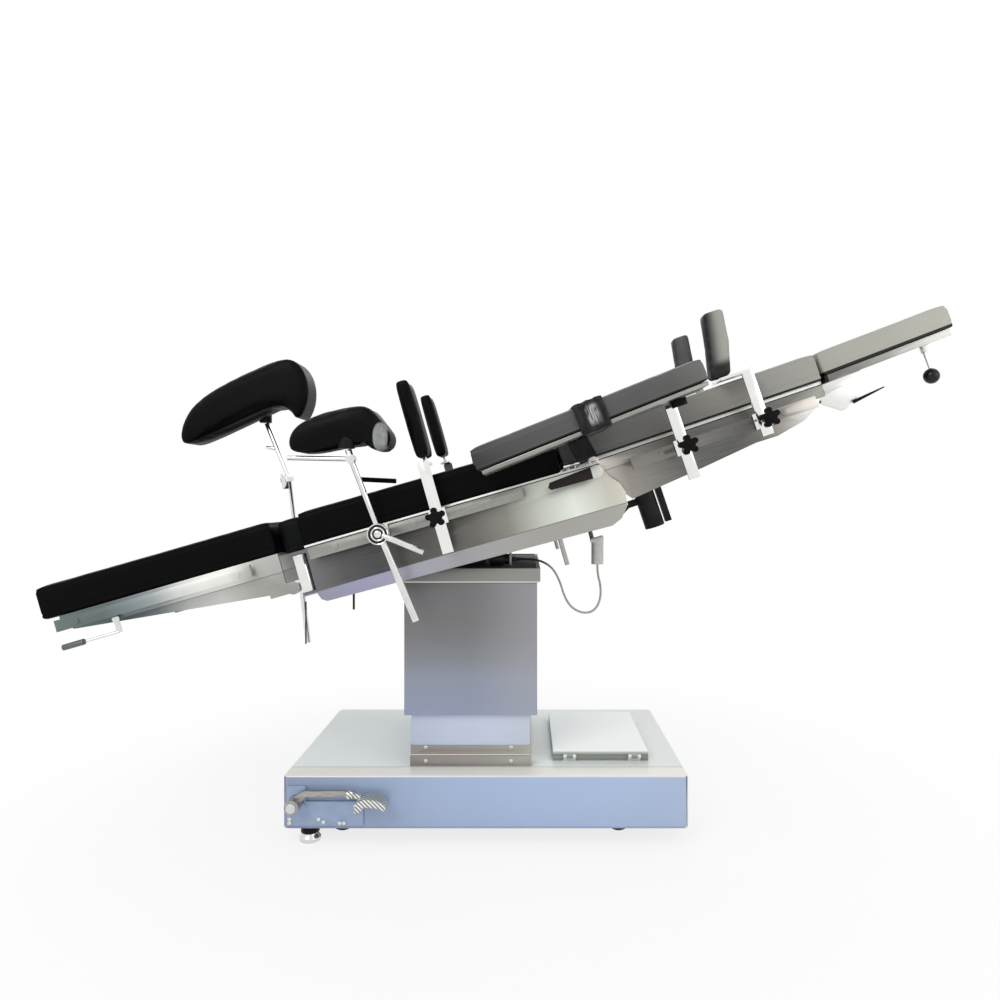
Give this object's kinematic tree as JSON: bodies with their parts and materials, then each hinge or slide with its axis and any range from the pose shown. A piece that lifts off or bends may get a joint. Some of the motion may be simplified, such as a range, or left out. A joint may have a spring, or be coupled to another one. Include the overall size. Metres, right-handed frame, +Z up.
{
  "type": "operating table",
  "caption": "Operating table with a sliding column on a wheeled base, a tilting sectioned top, folding legs, a kidney bridge, rail clamps, arm board and leg holders.",
  "frame": {"origin": "on the floor under the centre of the base cover", "axes": "+X towards the head end, +Y away from the side seen, +Z up"},
  "size_m": [1.9669, 0.7588, 1.1973],
  "materials": {
    "painted_base": "satin",
    "steel_panel": "satin",
    "structure": "satin",
    "chrome_parts": "polished",
    "wheel": "matte",
    "black_plastic": "satin",
    "black_leather": "satin",
    "grey_leather": "satin",
    "light_leather": "satin",
    "arm_leather": "satin",
    "cable_skin": "satin"
  },
  "bodies": {
    "base": {"base_cover": "painted_base", "base_chassis": "structure", "hatch_frame": "steel_panel", "brake_bracket": "steel_panel", "lower_shroud": "steel_panel", "shroud_skirt": "steel_panel", "lift_cylinder": "structure"},
    "hatch": {"hatch_lid": "painted_base"},
    "pedal": {"brake_pedal": "chrome_parts"},
    "foot": {"brake_foot": "chrome_parts"},
    "column": {"column_sleeve": "steel_panel", "column_collar": "steel_panel", "lift_ram": "chrome_parts", "column_head": "structure", "cable_gland": "black_plastic"},
    "cradle": {"tilt_cradle": "structure", "tilt_cable": "cable_skin"},
    "seat": {"seat_frame": "steel_panel", "seat_rails": "chrome_parts", "seat_cushion": "black_leather"},
    "bridge": {"bridge_carrier": "structure", "kidney_pad": "black_leather"},
    "crank": {"bridge_crank": "black_plastic"},
    "back": {"back_frame": "steel_panel", "back_rails": "chrome_parts", "back_cushion": "grey_leather", "back_actuator": "black_plastic"},
    "head": {"head_frame": "steel_panel", "head_cushion": "light_leather"},
    "head_lock": {"head_lever": "chrome_parts"},
    "arm_clamp": {"arm_bar": "chrome_parts"},
    "arm": {"arm_board": "arm_leather"},
    "fork_foot_near": {"caster_fork_foot_near": "chrome_parts"},
    "wheel_foot_near": {"caster_wheel_foot_near": "wheel"},
    "fork_foot_far": {"caster_fork_foot_far": "chrome_parts"},
    "wheel_foot_far": {"caster_wheel_foot_far": "wheel"},
    "fork_head_near": {"caster_fork_head_near": "chrome_parts"},
    "wheel_head_near": {"caster_wheel_head_near": "wheel"},
    "fork_head_far": {"caster_fork_head_far": "chrome_parts"},
    "wheel_head_far": {"caster_wheel_head_far": "wheel"},
    "leg_hinge_near": {"leg_near_bracket": "chrome_parts"},
    "leg_near": {"leg_near_frame": "steel_panel", "leg_near_cushion": "black_leather"},
    "leg_catch_near": {"leg_near_lever": "chrome_parts"},
    "holder_near": {"holder_near_post": "chrome_parts"},
    "holder_saddle_near": {"holder_near_pad": "black_leather"},
    "support_seat_near": {"support_seat_near_bar": "chrome_parts"},
    "support_pad_seat_near": {"support_seat_near_pad": "black_leather"},
    "support_back_near": {"support_back_near_bar": "chrome_parts"},
    "support_pad_back_near": {"support_back_near_pad": "black_leather"},
    "leg_hinge_far": {"leg_far_bracket": "chrome_parts"},
    "leg_far": {"leg_far_frame": "steel_panel", "leg_far_cushion": "black_leather"},
    "leg_catch_far": {"leg_far_lever": "chrome_parts"},
    "holder_far": {"holder_far_post": "chrome_parts"},
    "holder_saddle_far": {"holder_far_pad": "black_leather"},
    "support_seat_far": {"support_seat_far_bar": "chrome_parts"},
    "support_pad_seat_far": {"support_seat_far_pad": "black_leather"},
    "support_back_far": {"support_back_far_bar": "chrome_parts"},
    "support_pad_back_far": {"support_back_far_pad": "black_leather"}
  },
  "joints": [
    {"name": "hatch_hinge", "type": "hinge", "parent": "base", "child": "hatch", "pos_m": [0.255, -0.161, 0.1633], "axis": [1, 0, 0], "range_deg": [0, 100]},
    {"name": "pedal_pivot", "type": "hinge", "parent": "base", "child": "pedal", "pos_m": [-0.404, -0.27, 0.1], "axis": [0, -1, 0], "range_deg": [0, 10]},
    {"name": "foot_slide", "type": "slide", "parent": "base", "child": "foot", "axis": [0, 0, 1], "range_m": [0, 0.008]},
    {"name": "swivel_foot_near", "type": "hinge", "parent": "base", "child": "fork_foot_near", "pos_m": [-0.31, -0.165, 0.072], "axis": [0, 0, 1], "continuous": true},
    {"name": "roll_foot_near", "type": "hinge", "parent": "fork_foot_near", "child": "wheel_foot_near", "pos_m": [-0.326, -0.165, 0.03], "axis": [0, 1, 0], "continuous": true},
    {"name": "swivel_foot_far", "type": "hinge", "parent": "base", "child": "fork_foot_far", "pos_m": [-0.31, 0.165, 0.072], "axis": [0, 0, 1], "continuous": true},
    {"name": "roll_foot_far", "type": "hinge", "parent": "fork_foot_far", "child": "wheel_foot_far", "pos_m": [-0.326, 0.165, 0.03], "axis": [0, 1, 0], "continuous": true},
    {"name": "swivel_head_near", "type": "hinge", "parent": "base", "child": "fork_head_near", "pos_m": [0.31, -0.165, 0.072], "axis": [0, 0, 1], "continuous": true},
    {"name": "roll_head_near", "type": "hinge", "parent": "fork_head_near", "child": "wheel_head_near", "pos_m": [0.294, -0.165, 0.03], "axis": [0, 1, 0], "continuous": true},
    {"name": "swivel_head_far", "type": "hinge", "parent": "base", "child": "fork_head_far", "pos_m": [0.31, 0.165, 0.072], "axis": [0, 0, 1], "continuous": true},
    {"name": "roll_head_far", "type": "hinge", "parent": "fork_head_far", "child": "wheel_head_far", "pos_m": [0.294, 0.165, 0.03], "axis": [0, 1, 0], "continuous": true},
    {"name": "column_lift", "type": "slide", "parent": "base", "child": "column", "axis": [0, 0, 1], "range_m": [-0.1, 0.18]},
    {"name": "tabletop_tilt", "type": "hinge", "parent": "column", "child": "cradle", "pos_m": [-0.036, 0, 0.665], "axis": [0, -1, 0], "range_deg": [-36, 9], "deforming": ["tilt_cable"]},
    {"name": "tabletop_roll", "type": "hinge", "parent": "cradle", "child": "seat", "pos_m": [-0.036, 0, 0.665], "axis": [0.9613, 0, 0.2756], "range_deg": [-12, 12]},
    {"name": "bridge_lift", "type": "slide", "parent": "seat", "child": "bridge", "axis": [-0.2756, 0, 0.9613], "range_m": [0, 0.08], "deforming": ["kidney_pad"]},
    {"name": "crank_turn", "type": "hinge", "parent": "seat", "child": "crank", "pos_m": [0.23351, -0.28, 0.80262], "axis": [0, 1, 0], "range_deg": [0, 100]},
    {"name": "back_hinge", "type": "hinge", "parent": "seat", "child": "back", "pos_m": [0.23033, 0, 0.82459], "axis": [0, 1, 0], "range_deg": [-70, 22]},
    {"name": "head_hinge", "type": "hinge", "parent": "back", "child": "head", "pos_m": [0.73812, 0, 0.97747], "axis": [0, -1, 0], "range_deg": [-75, 2]},
    {"name": "head_lock_turn", "type": "hinge", "parent": "head", "child": "head_lock", "pos_m": [0.96695, -0.2, 1.07341], "axis": [0, -1, 0], "range_deg": [-15, 15]},
    {"name": "leg_swing_near", "type": "hinge", "parent": "seat", "child": "leg_hinge_near", "pos_m": [-0.38949, -0.236, 0.58444], "axis": [-0.2756, 0, 0.9613], "range_deg": [0, 90]},
    {"name": "leg_fold_near", "type": "hinge", "parent": "leg_hinge_near", "child": "leg_near", "pos_m": [-0.41199, -0.236, 0.55407], "axis": [0, -1, 0], "range_deg": [0, 70]},
    {"name": "leg_catch_turn_near", "type": "hinge", "parent": "leg_near", "child": "leg_catch_near", "pos_m": [-0.78857, -0.253, 0.48874], "axis": [0, 1, 0], "range_deg": [0, 15]},
    {"name": "holder_slide_near", "type": "slide", "parent": "seat", "child": "holder_near", "axis": [0.9613, 0, 0.2756], "range_m": [-0.06, 0.02]},
    {"name": "holder_saddle_turn_near", "type": "hinge", "parent": "holder_near", "child": "holder_saddle_near", "pos_m": [-0.28773, -0.2908, 0.85862], "axis": [0, 0, 1], "range_deg": [-25, 25]},
    {"name": "support_slide_seat_near", "type": "slide", "parent": "seat", "child": "support_seat_near", "axis": [0.9613, 0, 0.2756], "range_m": [-0.015, 0.06]},
    {"name": "support_turn_seat_near", "type": "hinge", "parent": "support_seat_near", "child": "support_pad_seat_near", "pos_m": [-0.13506, -0.23, 0.83633], "axis": [-0.2756, 0, 0.9613], "range_deg": [-30, 30]},
    {"name": "support_slide_back_near", "type": "slide", "parent": "back", "child": "support_back_near", "axis": [0.9472, 0, 0.3206], "range_m": [-0.06, 0.03]},
    {"name": "support_turn_back_near", "type": "hinge", "parent": "support_back_near", "child": "support_pad_back_near", "pos_m": [0.49374, -0.23, 1.03199], "axis": [-0.3206, 0, 0.9472], "range_deg": [-30, 30]},
    {"name": "leg_swing_far", "type": "hinge", "parent": "seat", "child": "leg_hinge_far", "pos_m": [-0.38949, 0.236, 0.58444], "axis": [0.2756, 0, -0.9613], "range_deg": [0, 90]},
    {"name": "leg_fold_far", "type": "hinge", "parent": "leg_hinge_far", "child": "leg_far", "pos_m": [-0.41199, 0.236, 0.55407], "axis": [0, -1, 0], "range_deg": [0, 70]},
    {"name": "leg_catch_turn_far", "type": "hinge", "parent": "leg_far", "child": "leg_catch_far", "pos_m": [-0.78857, 0.253, 0.48874], "axis": [0, 1, 0], "range_deg": [0, 15]},
    {"name": "holder_slide_far", "type": "slide", "parent": "leg_far", "child": "holder_far", "axis": [0.9613, 0, 0.2756], "range_m": [-0.05, 0.03]},
    {"name": "holder_saddle_turn_far", "type": "hinge", "parent": "holder_far", "child": "holder_saddle_far", "pos_m": [-0.65803, 0.2908, 0.96861], "axis": [0, 0, 1], "range_deg": [-25, 25]},
    {"name": "support_slide_seat_far", "type": "slide", "parent": "seat", "child": "support_seat_far", "axis": [0.9613, 0, 0.2756], "range_m": [-0.04, 0.06]},
    {"name": "support_turn_seat_far", "type": "hinge", "parent": "support_seat_far", "child": "support_pad_seat_far", "pos_m": [-0.13506, 0.23, 0.83633], "axis": [-0.2756, 0, 0.9613], "range_deg": [-30, 30]},
    {"name": "support_slide_back_far", "type": "slide", "parent": "back", "child": "support_back_far", "axis": [0.9472, 0, 0.3206], "range_m": [-0.06, 0.03]},
    {"name": "support_turn_back_far", "type": "hinge", "parent": "support_back_far", "child": "support_pad_back_far", "pos_m": [0.53352, 0.23, 1.04546], "axis": [-0.3206, 0, 0.9472], "range_deg": [-30, 30]},
    {"name": "arm_clamp_slide", "type": "slide", "parent": "back", "child": "arm_clamp", "axis": [0.9472, 0, 0.3206], "range_m": [-0.02, 0.04]},
    {"name": "arm_swing", "type": "hinge", "parent": "arm_clamp", "child": "arm", "pos_m": [0.38758, -0.363, 0.94327], "axis": [-0.3697, 0, 0.9291], "range_deg": [0, 90]}
  ],
  "couplings": [
    {"joint": "foot_slide", "follows": "pedal_pivot", "m_per_rad": 0.045264},
    {"joint": "crank_turn", "follows": "bridge_lift", "rad_per_m": 21.598}
  ]
}
